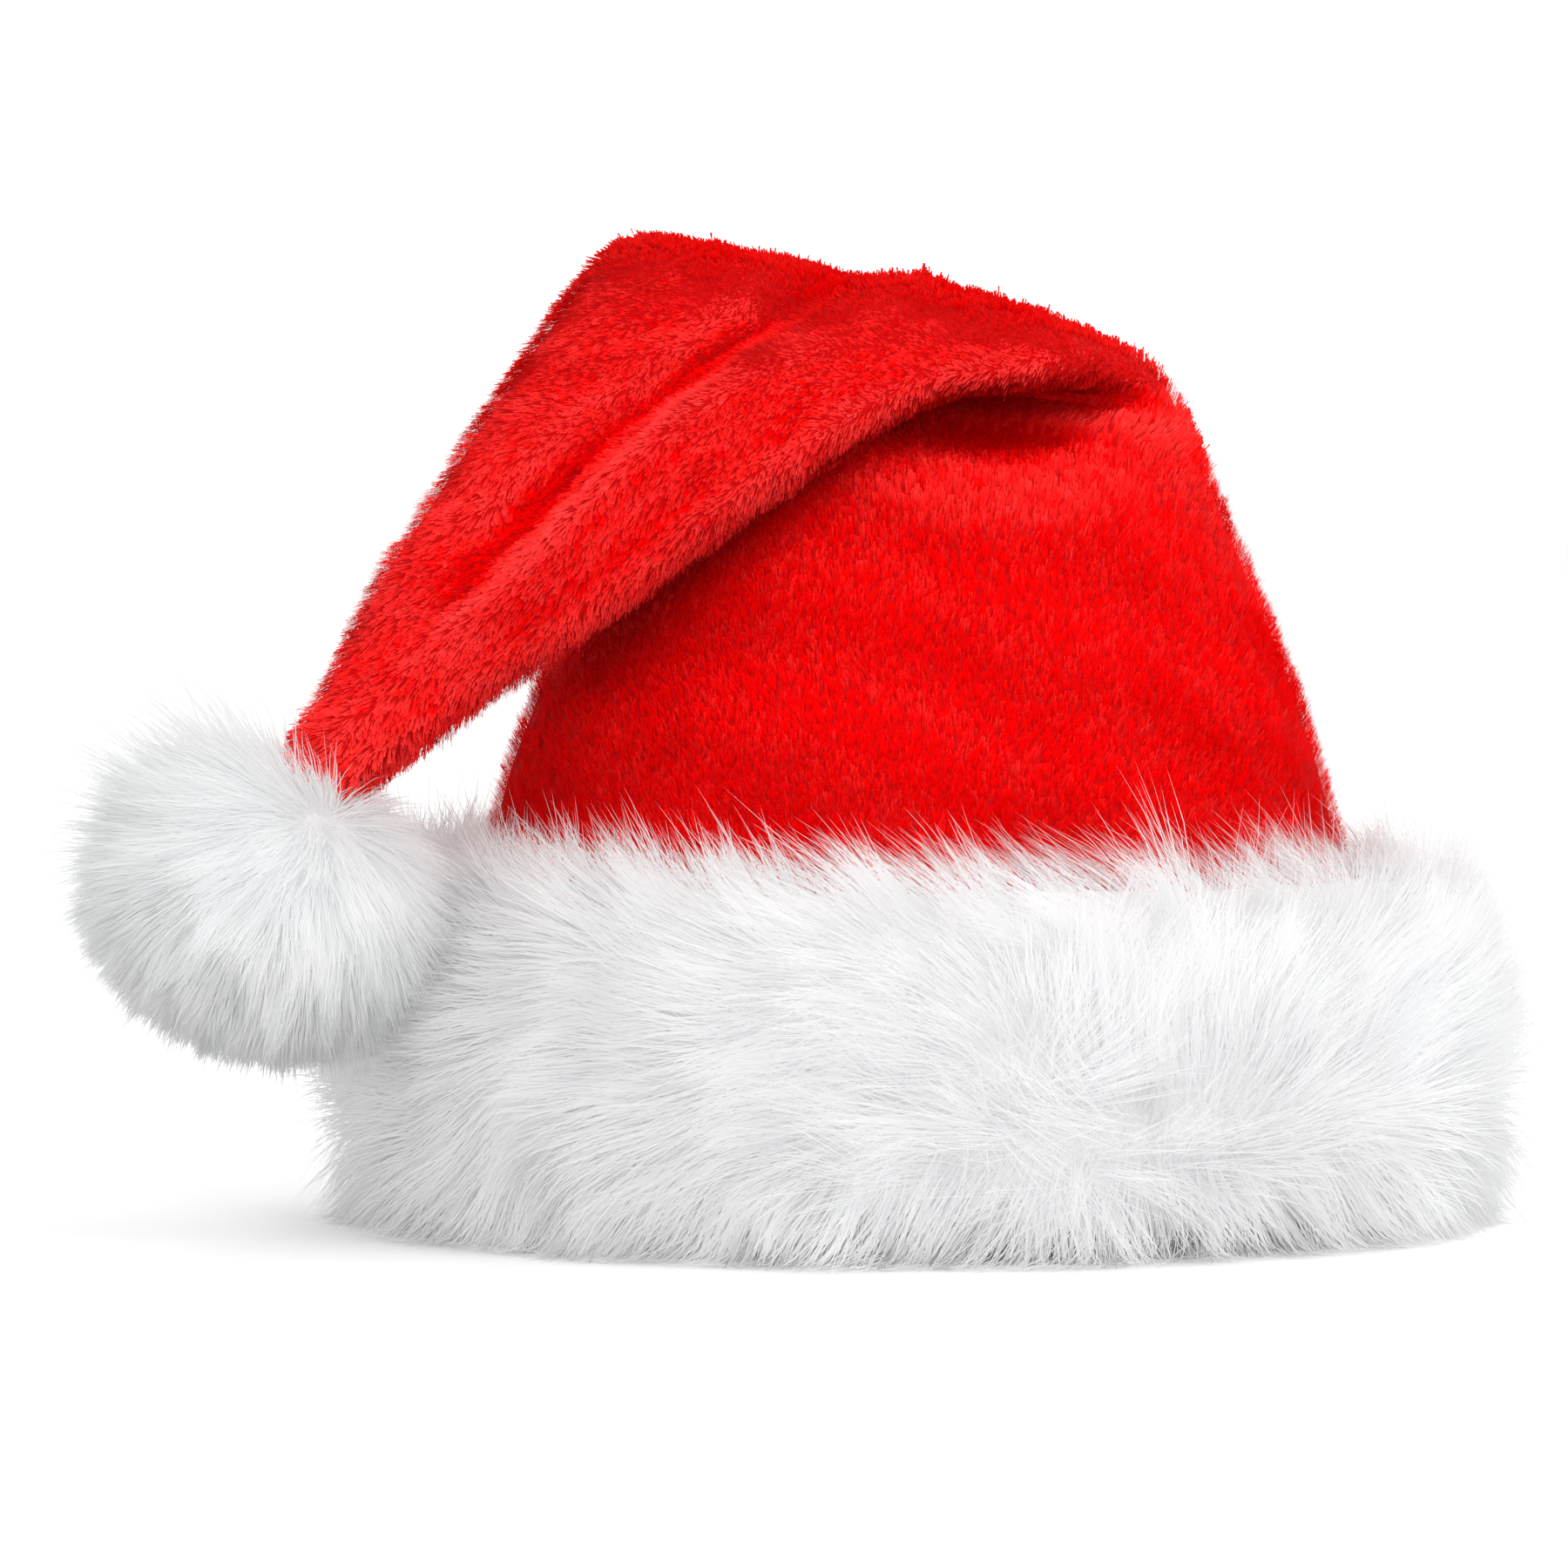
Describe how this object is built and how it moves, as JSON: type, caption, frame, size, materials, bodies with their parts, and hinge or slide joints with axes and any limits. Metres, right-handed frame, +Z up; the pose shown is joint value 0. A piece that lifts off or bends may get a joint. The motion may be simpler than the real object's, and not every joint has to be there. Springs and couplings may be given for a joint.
{
  "type": "santa hat",
  "caption": "Plush cone hat whose tail folds over to one side, with a deep fur band round the open hem and a fur pompom at the tip.",
  "frame": {"origin": "on the surface the hat stands on, under the middle of its whole outline", "axes": "+Z up, +X to the right and -Y to the front as the hat is looked at; the tail and pompom are on the -X side"},
  "size_m": [0.328, 0.2546, 0.2188],
  "materials": {
    "red_plush": "short soft pile",
    "white_fur": "long soft fur"
  },
  "bodies": {
    "root": {"crown": "red_plush", "fur_band": "white_fur", "pompom": "white_fur"}
  },
  "joints": []
}
